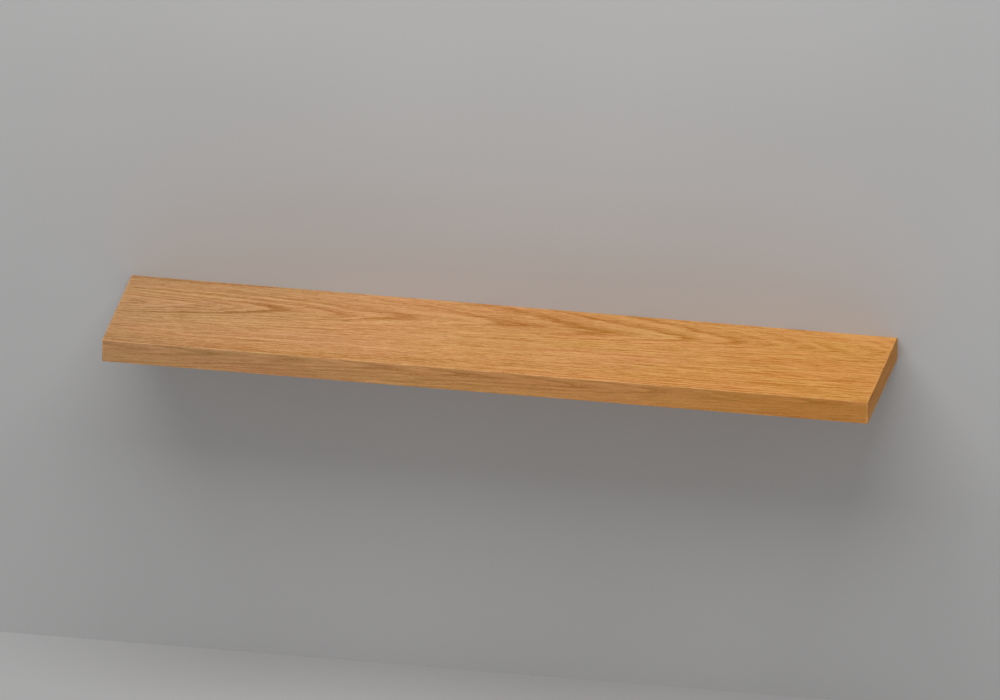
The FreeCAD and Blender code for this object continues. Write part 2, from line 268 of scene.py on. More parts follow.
class Figure:
    """How the rings of one oak sheet run. All lengths are in millimetres.

    A ring shows as a tongue that points along the sheet. Its tip is on the middle line, and its
    arms run back behind that line and in front of it. A line is given by points of (place along
    the sheet, value), and what is given for each ring is used over and over.

    middle: the line that the tips lie on, from the sheet's back or top edge.
    back: how far a ring's arm falls back from its tip for each step behind the middle line.
    front: the same for each step in front of it, and how much that grows with each step.
    tips: where the first rings have their tips. The later ones are ring apart, and that grows.
    darkness: how dark each ring's early wood is.
    arms: the shares of its darkness that each ring's arms keep, behind and in front.
    heart: four places across from the middle line, between which the early wood gets broad,
        stays broad and gets thin again.
    contrast, fleck, calm: how strong all the marks are, the short flecks, and the lines behind
        the middle line.
    firm: how strong the lines are, as a line through points.
    rims: darker bands: where each starts and is full across the sheet, and how much darker it is
        at two places along it, as (across, across, along, darker, along, darker).
    """

    def __init__(self, middle, back, front, tips, ring, darkness, growth=1.0, arms=((1.0, 1.0),),
                 heart=(-24.0, -5.0, 5.0, 24.0), contrast=1.0, fleck=0.24, calm=0.7,
                 firm=((0, 1.0), (1000, 1.0)), rims=()):
        self.middle = middle
        self.back = back
        self.front = front
        self.darkness = darkness
        self.contrast = contrast
        self.fleck = fleck
        self.heart = heart
        self.calm = calm
        self.rims = rims
        self.arms = arms
        self.firm = firm
        self.tips = list(tips)
        while self.tips[-1] < FURTHEST_TIP_MM:
            self.tips.append(self.tips[-1] + ring)
            ring *= growth
        self.start = self.tips[0]
        self.span = self.tips[-1] - self.start
        self.count = len(self.tips) - 1

    def by_ring(self, values):
        """A value for each ring, over and over, as a line through points."""
        return [(number, values[number % len(values)]) for number in range(self.count + 1)]

    def line(self):
        """A curve from a place on the middle line to its ring, both as shares."""
        return [((tip - self.start) / self.span, number / self.count)
                for number, tip in enumerate(self.tips)]


FIBRE_PALE, FIBRE_DARK, FIBRE_CHIP = paint(176, 138, 98), paint(118, 86, 56), paint(88, 60, 36)
PINE_PALE, PINE_DARK = paint(228, 194, 144), paint(186, 134, 80)
PINE_RESIN, PINE_WORN = paint(140, 88, 44), paint(236, 210, 168)
KRAFT_PALE, KRAFT_DARK = paint(196, 160, 114), paint(150, 112, 72)
KRAFT_SPECK, KRAFT_GLUE = paint(92, 66, 40), paint(128, 96, 58)
STEEL_PALE, STEEL_DARK, STEEL_WORN = paint(205, 205, 204), paint(170, 170, 171), paint(228, 228, 228)
STEEL_STRAW, STEEL_BROWN = paint(200, 180, 140), paint(158, 122, 104)
STEEL_BLUE, STEEL_SCALE = paint(122, 128, 150), paint(104, 102, 102)
WELD_PALE = paint(168, 166, 162)
OAK_PORE = paint(104, 62, 30)
OAK_PINK = paint(255, 240, 234)
OAK_STRAW = paint(252, 252, 232)
# The pale of the oak's edges: wear, with a painted highlight along the arrises.
OAK_WEAR_AND_HIGHLIGHT = paint(226, 180, 124)

# How dark early wood is from the start of its ring, 0, to the start of the next, 1: where it is
# thin, and where it is broad.
THIN_EARLY_WOOD = ((0.0, 0.4), (0.012, 1.0), (0.05, 0.8), (0.12, 0.5), (0.28, 0.28), (0.55, 0.1),
                   (0.95, 0.0), (1.0, 0.4))
BROAD_EARLY_WOOD = ((0.0, 0.35), (0.02, 0.75), (0.08, 1.05), (0.25, 1.05), (0.36, 0.5), (0.6, 0.1),
                    (0.96, 0.0), (1.0, 0.35))
# How dark the wood is without marks, and how much each kind of mark darkens it.
PLAIN_TONE = 0.31
LINE_SHARES = {"fibre": 0.9, "thread": 0.34, "line": 1.25, "streak": 0.4, "dash": 0.24, "light": -0.36}
MARK_SHARES = {"hair": 0.35, "vein": 0.25, "broad": 0.36, "band": 0.36, "early": 0.54}
# How far along the middle line one unit of the marks that keep to the rings reaches.
LAYER_MM = 14
# Where along a sheet its second and its third pair of shades are reached, as shares.
SECOND_SHADE, THIRD_SHADE = 0.35, 0.9


class Oak(Finish):
    """Clear-lacquered oak cut flat from the log, so that its rings show as long nested tongues.

    along and across give the coordinates on the sheet, and figure says how its rings run.
    """

    def __init__(self, name, along, across, figure, seed):
        super().__init__(name)
        self.along, self.across = along(self), across(self)
        self.sheet = self.point(self.along, self.across)
        self.figure = figure
        self.seed = seed
        self.find_rings()
        self.find_early_wood()
        self.find_marks()

    def grain(self, lengths, number, detail=2.0, roughness=0.5, place=None):
        """Noise about 0 that is stretched along the fibres."""
        noise = self.noise(place or self.sheet, (*lengths, 1), self.seed + number, detail, roughness)
        return self.less(noise, 0.5)

    def find_rings(self):
        """Where a point lies among the rings.

        off is how far it is in front of the middle line, and step is the same without the sign and
        rounded off at the tips. run is where its ring has its tip, and ring is the ring's number.
        """
        figure = self.figure
        wave = self.times(self.grain((260, 70), 1, 1.0), 14.0)
        ripple = self.times(self.grain((60, 14), 2), 4.0)
        middle = self.line_through(self.along, figure.middle)
        self.off = self.less(self.add(self.across, wave, ripple), middle)
        reach = self.math("SQRT", self.add(self.times(self.off, self.off), TIP_RADIUS_MM ** 2))
        self.step = self.less(reach, TIP_RADIUS_MM)
        in_front = self.math("GREATER_THAN", self.off, 0.0)
        back = self.times(self.less(1.0, in_front), self.line_through(self.along, figure.back))
        lean, growth = figure.front
        front = self.times(in_front, self.add(lean, self.times(self.step, growth)))
        drift = self.times(self.grain((120, 40), 3, 1.0), 50.0)
        self.run = self.add(self.along, self.times(self.step, self.add(back, front)), drift)
        ragged = self.add(self.run, self.times(self.grain((34, 2.4), 4, 1.0), 42.0))
        share = self.math("DIVIDE", self.less(ragged, figure.start), figure.span)
        self.ring = self.times(self.curve(share, figure.line()), float(figure.count))

    def find_early_wood(self):
        """How dark a ring's early wood is: thin along its arms, and broad near the middle line."""
        figure, off = self.figure, self.off
        phase, number = self.math("FRACT", self.ring), self.math("FLOOR", self.ring)
        # What the arms lose starts beside the middle line, and in front it ends further out.
        lost_behind, lost_ahead = (
            self.less(1.0, self.line_through(number, figure.by_ring(shares))) for shares in zip(*figure.arms)
        )
        lost_behind = self.times(lost_behind, self.fade(off, -16.0, -4.0))
        lost_ahead = self.times(lost_ahead, self.fit(off, 6.0, 16.0), self.fade(off, 20.0, 44.0))
        thin, broad = self.curve(phase, THIN_EARLY_WOOD), self.curve(phase, BROAD_EARLY_WOOD)
        widens, narrows = figure.heart[:2], figure.heart[2:]
        heart = self.times(self.fit(off, *widens, smooth=True), self.fade(off, *narrows))
        darkness = self.line_through(number, figure.by_ring(figure.darkness))
        darkness = self.times(darkness, self.less(1.0, self.add(lost_behind, lost_ahead)))
        self.early = self.times(self.add(thin, self.times(heart, self.less(broad, thin))), darkness)

    def find_marks(self):
        """All marks by name. Those that read layers keep to the rings, and the others to the fibres.

        Pores and dashes crowd in the early wood, and lines are finer where the rings lie close.
        """
        grain, fit = self.grain, self.fit
        layers = self.point(self.along, self.times(self.run, 1 / LAYER_MM))
        near = self.times(grain((260, 1.7), 16, 1.0, place=layers), fit(self.step, 30, 80, 1.0, 0.2))
        far = self.times(grain((300, 4.2), 21, 2.0, 0.7, place=layers), fit(self.step, 30, 80))
        dash = fit(grain((34, 1.8), 9, 1.0), 0.08, 0.15, smooth=True)
        pore = self.specks(self.sheet, (8.0, 0.5, 1), self.seed + 10, 0.14, 0.28)
        self.marks = {
            "fibre": grain((90, 0.8), 6, 3.0, 0.6),
            "hair": grain((16, 0.2), 22, 3.0, 0.6),
            "thread": fit(grain((60, 1.5), 15, 1.0), -0.08, 0.08, -0.5, 0.5),
            "tick": fit(grain((6, 1.5), 23, 1.0), -0.05, 0.05, -0.4, 0.4),
            "fleck": fit(grain((13, 1.6), 17, 1.0), -0.06, 0.06, -0.5, 0.5),
            "broad": grain((170, 11), 8),
            "band": grain((420, 8), 19, 1.0),
            "streak": grain((70, 2.2), 7),
            "light": fit(grain((28, 1.4), 18, 1.0), 0.08, 0.13, smooth=True),
            "line": self.add(near, far),
            "vein": grain((90, 3.2), 20, place=layers),
            "dash": self.times(dash, fit(self.early, 0.0, 0.7, 0.35, 1.0)),
            "pore": self.times(pore, fit(self.early, 0.0, 0.8, 0.45, 1.0)),
            "early": self.early,
        }

    def weighed(self, shares):
        """The sum of some marks, each times its share."""
        return self.add(*(self.times(self.marks[name], share) for name, share in shares.items()))

    def tone(self):
        """How dark the wood is, from 0 to 1."""
        figure = self.figure
        strength = self.times(self.fit(self.off, -10.0, 30.0, figure.calm, 1.0),
                              self.line_through(self.along, figure.firm))
        lines = self.times(self.weighed(LINE_SHARES), strength)
        flecks = self.weighed({"fleck": figure.fleck, "tick": figure.fleck})
        tone = self.times(self.add(lines, flecks, self.weighed(MARK_SHARES)), figure.contrast)
        tone = self.add(PLAIN_TONE, tone)
        # A rim darkens or lightens a band of the sheet. The top's first rim is painted shade along the wall.
        for empty, full, start, first, end, last in figure.rims:
            rim = self.fit(self.across, empty, full, smooth=True)
            tone = self.add(tone, self.times(rim, self.fit(self.along, start, end, first, last)))
        return tone

    def shades_here(self, shades):
        """The pale and the dark wood at a point, out of those at three places along the sheet."""
        place = self.add(self.along, self.times(self.grain((240, 60), 13, 1.0), 300.0))
        second, third = SECOND_SHADE * LENGTH_MM, THIRD_SHADE * LENGTH_MM
        to_second, to_third = self.fit(place, 0.0, second), self.fit(place, second, third)
        return [self.blend(to_third, self.blend(to_second, start, middle), end)
                for start, middle, end in shades]

    def finished(self, shades, node):
        """The whole material. Its pores are darker and deeper, and its edges a little paler, from wear and a
        painted highlight along the arrises.
        """
        fibre, hair, pore = (self.marks[name] for name in ("fibre", "hair", "pore"))
        colour = self.blend(self.tone(), *self.shades_here(shades))
        colour = self.blend(self.times(pore, 0.75), colour, OAK_PORE)
        hue = self.add(self.grain((200, 24), 11), self.times(self.grain((50, 5), 12), 0.5))
        hue = self.blend(self.fit(hue, -0.14, 0.14), OAK_PINK, OAK_STRAW)
        colour = self.blend(0.6, colour, hue, "MULTIPLY")
        # Paler edges: partly wear, partly a painted highlight along the arrises.
        patches = self.fit(self.noise(self.sheet, (14, 14, 1), self.seed + 14), 0.4, 0.65)
        lightened = self.times(self.edge(node, 1.6), patches)
        colour = self.blend(self.times(lightened, 0.3), colour, OAK_WEAR_AND_HIGHLIGHT)
        sunk = self.add(pore, self.times(self.early, 0.25))
        height = self.less(self.times(self.add(fibre, hair), 0.5), sunk)
        roughness = self.add(0.6, self.times(pore, 0.25), self.times(fibre, 0.2), self.times(lightened, 0.08))
        return self.shade(colour, roughness, self.bump(height, 0.05), Specular_IOR_Level=0.12)


PINE_RING_MM = 3.4
# How dark pine is from the start of a ring, 0, to the start of the next, 1.
LATE_WOOD = ((0.0, 0.25), (0.06, 0.0), (0.45, 0.12), (0.78, 0.5), (0.95, 1.0), (1.0, 0.25))
# Heat tints of steel, from the coolest inwards: full and gone at these distances from a weld.
HEAT_TINTS = ((12, 17, STEEL_STRAW), (10, 13, STEEL_BROWN), (8, 10.5, STEEL_BLUE), (6, 8.5, STEEL_SCALE))
# Tints on a weld bead: none and full at these shares of a patchy film.
BEAD_TINTS = ((0.42, 0.5, STEEL_STRAW), (0.5, 0.56, STEEL_BROWN), (0.58, 0.68, STEEL_BLUE))


def fibreboard(name, node):
    """Sawn fibreboard: pressed wood fibres, darker and denser towards each face."""
    board = Finish(name)
    low, high = box_mm(node)
    middle, half = (low.z + high.z) / 2, (high.z - low.z) / 2
    depth = board.fit(board.math("ABSOLUTE", board.less(board.z, middle)), 0.5, half)
    fluff = board.noise(board.place, (0.5, 0.5, 0.3), detail=3.0)
    fibres = board.noise(board.place, (2.4, 0.5, 0.35), 1, distortion=1.2)
    cloud = board.noise(board.place, (30, 30, 4), 2)
    chips = board.specks(board.place, (1.6, 1.6, 0.5), 3, 0.08, 0.22)
    tone = board.add(board.fit(fluff, 0.3, 0.7, 0.0, 0.4), board.fit(fibres, 0.35, 0.65, 0.0, 0.35),
                     board.fit(cloud, 0.35, 0.65, 0.0, 0.2), board.times(depth, 0.25))
    colour = board.blend(tone, FIBRE_PALE, FIBRE_DARK)
    colour = board.blend(board.times(chips, 0.35), colour, FIBRE_CHIP)
    lightened = board.times(board.edge(node, 0.8), board.fit(cloud, 0.4, 0.6))
    colour = board.blend(board.times(lightened, 0.35), colour, FIBRE_PALE)
    height = board.add(fluff, board.times(fibres, 0.6), board.times(chips, -0.3))
    return board.shade(colour, board.fit(fluff, 0.3, 0.7, 0.8, 0.95), board.bump(height, 0.12),
                       Specular_IOR_Level=0.25)


def timber(name, node, lengthways, seed):
    """Sawn pine whose rings are true rings round the tree's middle, so its end grain shows arcs.

    lengthways is the axis that the grain follows: 0 for X and 1 for Y.
    """
    pine = Finish(name)
    low, high = box_mm(node)
    middle = (low + high) / 2
    along, side = (pine.x, pine.y) if lengthways == 0 else (pine.y, pine.x)
    side = pine.less(side, middle[1 - lengthways])
    spot = pine.point(along, side, pine.z)

    def grain(lengths, number, detail=2.0):
        """Noise about 0 that is stretched along the fibres."""
        return pine.less(pine.noise(spot, lengths, seed + number, detail), 0.5)

    # Each piece was cut from its own place in the tree: the tree's middle is this far away.
    sway, bow = pine.times(grain((220, 60, 60), 1), 12.0), pine.times(grain((260, 40, 40), 2), 8.0)
    sideways = pine.add(side, sway, 14.0 + 5.0 * (seed % 5))
    upwards = pine.add(pine.z, bow, -34.0 - 3.0 * (seed % 3))
    radius = pine.add(pine.vector("LENGTH", pine.point(sideways, upwards)), grain((40, 3, 3), 3))
    late = pine.curve(pine.math("FRACT", pine.math("DIVIDE", radius, PINE_RING_MM)), LATE_WOOD)
    fibre = grain((26, 0.35, 0.35), 4, 3.0)
    streak = grain((90, 3, 3), 5)
    pore = pine.specks(spot, (9.0, 0.35, 0.35), seed + 6, 0.1, 0.25)
    tone = pine.add(pine.times(late, 0.6), pine.times(fibre, 0.5), pine.times(streak, 0.6), 0.1)
    colour = pine.blend(pine.fit(tone, 0.0, 1.0), PINE_PALE, PINE_DARK)
    colour = pine.blend(pine.times(pore, 0.18), colour, PINE_RESIN)
    lightened = pine.times(pine.edge(node, 1.2), pine.fit(pine.noise(spot, (12, 12, 12), seed + 7), 0.4, 0.6))
    colour = pine.blend(pine.times(lightened, 0.4), colour, PINE_WORN)
    saw = pine.math("SINE", pine.times(pine.add(along, pine.times(side, 0.25), grain((60, 30, 30), 8)), 1.9))
    height = pine.add(fibre, pine.times(late, 0.35), pine.times(saw, 0.12))
    roughness = pine.add(0.68, pine.times(fibre, 0.25), pine.times(late, -0.1))
    return pine.shade(colour, roughness, pine.bump(height, 0.1), Specular_IOR_Level=0.3)


def kraft(name, node):
    """Brown recycled paper, with glue soaked in where it meets the skins."""
    paper = Finish(name)
    flecks = paper.noise(paper.place, (1.6, 1.6, 0.7), detail=3.0, distortion=1.0)
    fibres = paper.noise(paper.place, (0.5, 0.5, 2.4), 1, distortion=0.8)
    cloud = paper.noise(paper.place, (22, 22, 14), 2)
    crease = paper.noise(paper.place, (7, 7, 3), 3, distortion=0.6)
    specks = paper.specks(paper.place, (2.6, 2.6, 1.6), 4, 0.05, 0.14)
    tone = paper.add(paper.fit(flecks, 0.3, 0.7, 0.0, 0.4), paper.fit(fibres, 0.3, 0.7, 0.0, 0.25),
                     paper.fit(cloud, 0.3, 0.7, 0.0, 0.35))
    colour = paper.blend(tone, KRAFT_PALE, KRAFT_DARK)
    colour = paper.blend(paper.times(specks, 0.5), colour, KRAFT_SPECK)
    from_skin = paper.less(box_mm(node)[1].z, paper.math("ABSOLUTE", paper.z))
    glue = paper.fade(paper.add(from_skin, paper.times(paper.less(flecks, 0.5), 2.0)), 0.3, 1.3)
    colour = paper.blend(paper.times(glue, 0.45), colour, KRAFT_GLUE)
    roughness = paper.less(paper.fit(fibres, 0.3, 0.7, 0.82, 0.95), paper.times(glue, 0.4))
    height = paper.add(paper.times(crease, 2.0), fibres)
    return paper.shade(colour, roughness, paper.bump(height, 0.15), Specular_IOR_Level=0.3)


def bare_steel(name, node, lengthways):
    """Brushed steel with heat tint round the welds, and scratches the way that the shelf slides.

    lengthways is the axis of the brush marks: 0 for X and 1 for Y.
    """
    steel = Finish(name)

    def brushed(length, seed, detail):
        """Noise in marks of this length and the width of a bristle."""
        lengths = [0.12, 0.12, 0.12]
        lengths[lengthways] = length
        return steel.noise(steel.place, lengths, seed, detail)

    long, short = brushed(45, 1, 3.0), brushed(9, 2, 2.0)
    cloud = steel.noise(steel.place, (40, 18, 18), 3)
    oil = steel.fit(steel.noise(steel.place, (16, 9, 9), 4, distortion=1.0), 0.5, 0.7, smooth=True)
    scratch = steel.specks(steel.place, (3, 26, 1.1), 5, 0.02, 0.05)
    weld = steel.smallest(*(steel.vector("DISTANCE", steel.place, tuple(root_of(rod) / MM)) for rod in RODS))
    weld = steel.add(weld, steel.times(steel.less(steel.noise(steel.place, (6, 6, 6), 6), 0.5), 5.0))
    tone = steel.add(steel.fit(long, 0.3, 0.7, 0.0, 0.5), steel.fit(cloud, 0.35, 0.65, 0.0, 0.5))
    colour = steel.blend(tone, STEEL_PALE, STEEL_DARK)
    for full, gone, tint in HEAT_TINTS:
        colour = steel.blend(steel.fit(weld, full, gone, 0.75, 0.0, smooth=True), colour, tint)
    lightened = steel.math("MAXIMUM", steel.times(steel.edge(node, 0.5), 0.7), steel.times(scratch, 0.5))
    colour = steel.blend(lightened, colour, STEEL_WORN)
    roughness = steel.add(steel.fit(short, 0.3, 0.7, 0.3, 0.46), steel.times(oil, -0.08),
                          steel.fit(weld, 7, 20, 0.25, 0.0))
    height = steel.add(long, steel.times(short, 0.5), steel.times(scratch, -0.8))
    return steel.shade(colour, roughness, steel.bump(height, 0.02), Metallic=1.0)


def turned_metal(name, node, shades, crest_mm):
    """Turned metal: rings of tool marks, dirt in the grooves, and bright crests and rims.

    shades are its pale, dark and worn shades, and crest_mm is the radius of its crests.
    """
    metal = Finish(name)
    pale, dark, bright = shades
    low, high = box_mm(node)
    middle = (low + high) / 2
    sideways, deep = metal.less(metal.x, middle.x), metal.less(metal.y, middle.y)
    radius = metal.vector("LENGTH", metal.point(sideways, deep))
    marks = metal.noise(metal.point(radius, metal.z), (0.08, 0.08, 1), 1, detail=2.0)
    cloud = metal.noise(metal.place, (2.5, 2.5, 2.5), 2, detail=3.0)
    speck = metal.noise(metal.place, (0.35, 0.35, 0.35), 3)
    tone = metal.add(metal.fit(marks, 0.3, 0.7, 0.0, 0.35), metal.fit(cloud, 0.35, 0.65, 0.0, 0.65))
    colour = metal.blend(tone, pale, dark)
    from_end = metal.smallest(metal.less(metal.z, low.z), metal.less(high.z, metal.z))
    rub = metal.math("MAXIMUM", metal.fit(radius, crest_mm - 0.18, crest_mm, smooth=True),
                     metal.fade(from_end, 0.0, 0.15))
    rub = metal.times(rub, metal.fit(speck, 0.3, 0.6, 0.35, 1.0))
    colour = metal.blend(metal.times(rub, 0.7), colour, bright)
    roughness = metal.add(metal.fit(cloud, 0.3, 0.7, 0.3, 0.48), metal.fit(marks, 0.3, 0.7, -0.03, 0.03),
                          metal.times(rub, -0.08))
    return metal.shade(colour, roughness, metal.bump(metal.add(marks, speck), 0.01), Metallic=1.0)


def weld_metal(name):
    """The skin of a weld bead: dull grey scale with straw, brown and blue where it cooled."""
    bead = Finish(name)
    cloud = bead.noise(bead.place, (3.5, 3.5, 3.5), 1, detail=3.0)
    film = bead.noise(bead.place, (5, 5, 5), 2, distortion=1.5)
    grit = bead.noise(bead.place, (0.3, 0.3, 0.3), 3, detail=3.0)
    colour = bead.blend(bead.fit(cloud, 0.35, 0.65), WELD_PALE, STEEL_SCALE)
    for none, full, tint in BEAD_TINTS:
        colour = bead.blend(bead.fit(film, none, full, 0.0, 0.45, smooth=True), colour, tint)
    roughness = bead.add(bead.fit(cloud, 0.35, 0.65, 0.42, 0.58), bead.fit(grit, 0.3, 0.7, -0.05, 0.05))
    return bead.shade(colour, roughness, bead.bump(grit, 0.04), Metallic=1.0)


TOP = Figure(
    middle=((0, 74), (200, 66), (296, 66), (352, 59), (488, 51), (596, 53), (714, 53), (898, 53), (1000, 50)),
    back=((0, 8.3), (200, 5.0), (300, 3.6), (600, 3.6), (720, 2.9), (900, 1.6), (1000, 1.4)),
    front=(2.0, 0.14), ring=95, growth=1.05,
    tips=(-60, 23, 100, 150, 203, 277, 343, 487, 600, 726, 801, 892),
    darkness=(0.4, 0.5, 0.4, 0.6, 1.4, 0.85, 0.85, 0.85, 1.05, 1.0, 0.7, 0.5, 0.4, 0.9, 0.6, 0.8),
    arms=((0.8, 0.9), (0.8, 0.9), (0.8, 0.9), (0.8, 0.9), (0.35, 1.7), (0.9, 0.3), (0.5, 0.5), (0.5, 0.25),
          (0.7, 0.25), (0.6, 0.25), (0.8, 0.5), (0.7, 0.5), (0.4, 0.6), (1.0, 1.0), (1.0, 1.0), (1.0, 1.0)),
    heart=(-62.0, -16.0, 8.0, 22.0),
    firm=((0, 1.0), (600, 1.0), (720, 1.35), (1000, 1.6)),
    # The first rim is painted shade: it darkens the top along the wall at its left end.
    rims=((16, 3, 120, 0.3, 340, 0.0), (16, 3, 880, 0.0, 940, -0.4), (148, 188, 700, 0.13, 1000, 0.05)),
)
BOTTOM = Figure(
    middle=((0, 112), (400, 122), (700, 112), (1000, 118)), back=((0, 8.0), (500, 6.5), (1000, 4.5)),
    front=(3.0, 0.06), ring=100, growth=1.04,
    tips=(-300, -190, -60, 40, 160, 250, 330, 470, 560, 690, 800, 930),
    darkness=(0.7, 0.9, 0.6, 0.8, 1.0, 0.55, 0.75),
)
FRONT = Figure(
    middle=((0, 9), (215, 7), (380, 8), (555, 9), (644, 8), (745, 6), (1000, 5)), back=((0, 15), (1000, 15)),
    front=(20, 0.2), ring=110,
    tips=(-200, -90, 20, 120, 250, 356, 464, 603, 707, 820, 930),
    darkness=(0.6, 0.5, 0.7, 1.1, 0.6, 1.0, 1.2, 1.1, 1.0, 0.6, 0.9),
    heart=(-6.0, -1.0, 1.0, 6.0), contrast=0.56, fleck=0.16,
)
END = Figure(
    middle=((0, 0.1), (200, 0.1)), back=((0, 20), (200, 20)),
    front=(20, 0), ring=80, tips=(0, 90), darkness=(0.7, 0.5, 0.9),
    heart=(-6.0, -1.0, 1.0, 6.0), contrast=0.6, fleck=0.16,
)
# The pale and then the dark wood of a sheet, each at its start and at its second and third shade.
TOP_SHADES = ((paint(192, 151, 109), paint(211, 160, 110), paint(213, 155, 88)),
              (paint(144, 98, 49), paint(163, 105, 42), paint(170, 104, 14)))
FRONT_SHADES = ((paint(196, 151, 110), paint(209, 155, 105), paint(206, 143, 80)),
                (paint(138, 98, 55), paint(149, 101, 45), paint(156, 101, 25)))
LEFT_SHADES = ((paint(199, 154, 111),) * 3, (paint(143, 103, 66),) * 3)
# The right end's shades are paler and less blue than the front's at that end: partly the oak's colour, partly
# painted light that makes up for the light its shaded face lacks.
RIGHT_SHADES = ((paint(216, 150, 73),) * 3, (paint(164, 107, 31),) * 3)


def from_left(finish):
    """How far a point is from the shelf's left end, in millimetres."""
    return finish.add(finish.x, LENGTH_MM / 2)


def from_wall(finish):
    """How far a point is from the wall, in millimetres."""
    return finish.times(finish.y, -1.0)


def from_top(finish):
    """How far a point is below the shelf's top, in millimetres."""
    return finish.less(HALF_THICKNESS_MM, finish.z)


# Each oak sheet: its finish, its CAD node, its two coordinates, its figure, its shades and its seed.
OAK_SHEETS = (
    ("oak_top", "top_veneer", from_left, from_wall, TOP, TOP_SHADES, 1),
    ("oak_bottom", "bottom_veneer", from_left, from_wall, BOTTOM, TOP_SHADES, 31),
    ("oak_front", "front_edge_band", from_left, from_top, FRONT, FRONT_SHADES, 61),
    ("oak_left", "left_edge_band", from_wall, from_top, END, LEFT_SHADES, 90),
    ("oak_right", "right_edge_band", from_wall, from_top, END, RIGHT_SHADES, 110),
)
# Each timber piece, and the axis of its grain: 0 for X and 1 for Y.
TIMBERS = (("front_rail", 0), ("rear_rail", 0), ("left_end_rail", 1), ("right_end_rail", 1),
           ("left_rod_block", 1), ("centre_rod_block", 1), ("right_rod_block", 1))
HONEYCOMBS = ("honeycomb_1", "honeycomb_2", "honeycomb_3", "honeycomb_4")


def dress(material, *names):
    """Gives CAD nodes a finish."""
    for name in names:
        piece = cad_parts[name]
        piece.data.materials.clear()
        piece.data.materials.append(material)


for name, node, along, across, figure, shades, seed in OAK_SHEETS:
    dress(Oak(name, along, across, figure, seed).finished(shades, node), node)
for node in ("top_skin", "bottom_skin"):
    dress(fibreboard(f"fibreboard_{node}", node), node)
for number, (node, lengthways) in enumerate(TIMBERS):
    dress(timber(f"timber_{node}", node, lengthways, 11 * number), node)
dress(kraft("kraft_paper", HONEYCOMBS[0]), *HONEYCOMBS)
dress(bare_steel("steel_wall_plate", "wall_plate", 0), "wall_plate")
for rod in RODS:
    dress(bare_steel(f"steel_{rod}", rod, 1), rod)


# The sizes of the turned pieces are in millimetres. How many columns they have round a turn:
TURN_COLUMNS = 72
# The angle from a sharp edge to the column on each side of it.
PAIR_ANGLE = 0.004
# Points this close are made one, and an edge that bends by more than this angle stays sharp.
JOIN_DISTANCE = 1e-4
SHARP_ANGLE = math.radians(32)
# How much of a thread's flank slopes. A root share is how much of a pitch is root.
THREAD_SLOPE = 0.86

SCREW_RADIUS = 3.0
SCREW_ROOT = 2.5
SCREW_PITCH = 1.0
SCREW_STEP = SCREW_PITCH / 10
SCREW_ROOT_SHARE = 0.1
SCREW_CHAMFER = 0.6
# The hexagon socket at the lower end: from its middle to a flat, how deep it is, how much deeper its
# drill point is, its chamfered mouth, and the fine step between its walls and what they meet.
SOCKET_FLAT = 1.5
SOCKET_DEPTH = 3.5
SOCKET_POINT = 0.55
SOCKET_MOUTH = 0.12
SOCKET_STEP = 0.02
# The cup at the upper end: its bevel outside, and its rim.
CUP = 1.2
CUP_RIM = 0.12
BLACK_STEEL = (paint(84, 84, 88), paint(50, 50, 54), paint(150, 148, 146))

INSERT_BORE = 3.05
INSERT_GROOVE = 3.35
INSERT_ROOT = 3.9
INSERT_CREST = 4.5
INSERT_PITCH = 1.75
INSERT_STEP = INSERT_PITCH / 12
INSERT_ROOT_SHARE = 0.45
INSERT_MOUTH = 0.1
# How much smaller the insert's outside is at its upper and at its lower end.
INSERT_TAPER = 0.5
INSERT_CHAMFER = 0.25
SLOT_DEPTH = 1.3
SLOT_HALF_ANGLE = math.radians(9)
SLOT_MIDDLES = (0.0, math.pi)
BRASS = (paint(224, 184, 104), paint(176, 130, 66), paint(244, 214, 146))

WELD_REACH = 7.7
WELD_HEIGHT = 2.1
WELD_ROOT = 5.7
WELD_SINK = 0.2
WELD_SCALES = 23
WELD_ROWS = 10
COLUMNS_IN_A_SCALE = 9


def grid(name, columns, closed, centre, material, tilt=0.0):
    """A turned mesh. Each column is a line of (radius, height) at one angle, from a centre in metres.

    A closed column ends where it starts, as in a sleeve. An open one starts and ends on the axis.
    The axis points up, and tilt turns it about X.
    """
    shape = bmesh.new()
    lines = []
    for angle, column in columns:
        lines.append([shape.verts.new((radius * math.cos(angle), radius * math.sin(angle), height))
                      for radius, height in column])
    count = len(lines[0])
    for line, following in zip(lines, lines[1:] + lines[:1]):
        for row in range(count if closed else count - 1):
            up = (row + 1) % count
            shape.faces.new((line[row], following[row], following[up], line[up]))
    bmesh.ops.remove_doubles(shape, verts=shape.verts, dist=JOIN_DISTANCE)
    bmesh.ops.dissolve_degenerate(shape, edges=shape.edges, dist=JOIN_DISTANCE)
    bmesh.ops.recalc_face_normals(shape, faces=shape.faces)
    place = Matrix.Translation(centre) @ Matrix.Rotation(tilt, 4, "X") @ Matrix.Scale(MM, 4)
    bmesh.ops.transform(shape, matrix=place, verts=shape.verts)
    mesh = bpy.data.meshes.new(name)
    shape.to_mesh(mesh)
    shape.free()
    mesh.polygons.foreach_set("use_smooth", [True] * len(mesh.polygons))
    mesh.set_sharp_from_angle(angle=SHARP_ANGLE)
    mesh.materials.append(material)
    piece = bpy.data.objects.new(name, mesh)
    bpy.context.scene.collection.objects.link(piece)
    return piece


def rise(start, end, step):
    """Heights from start to end at about a step."""
    count = max(1, round(abs(end - start) / step))
    return [start + (end - start) * number / count for number in range(count + 1)]


def helix(height, turn, pitch, root, crest, root_share):
    """The radius of a thread at a height and a share of a turn."""
    phase = (height / pitch - turn) % 1.0
    flank = (1 - root_share) / 2
    share = min(1.0, max(0.0, (flank - abs(phase - 0.5)) / (flank * THREAD_SLOPE)))
    return root + (crest - root) * share


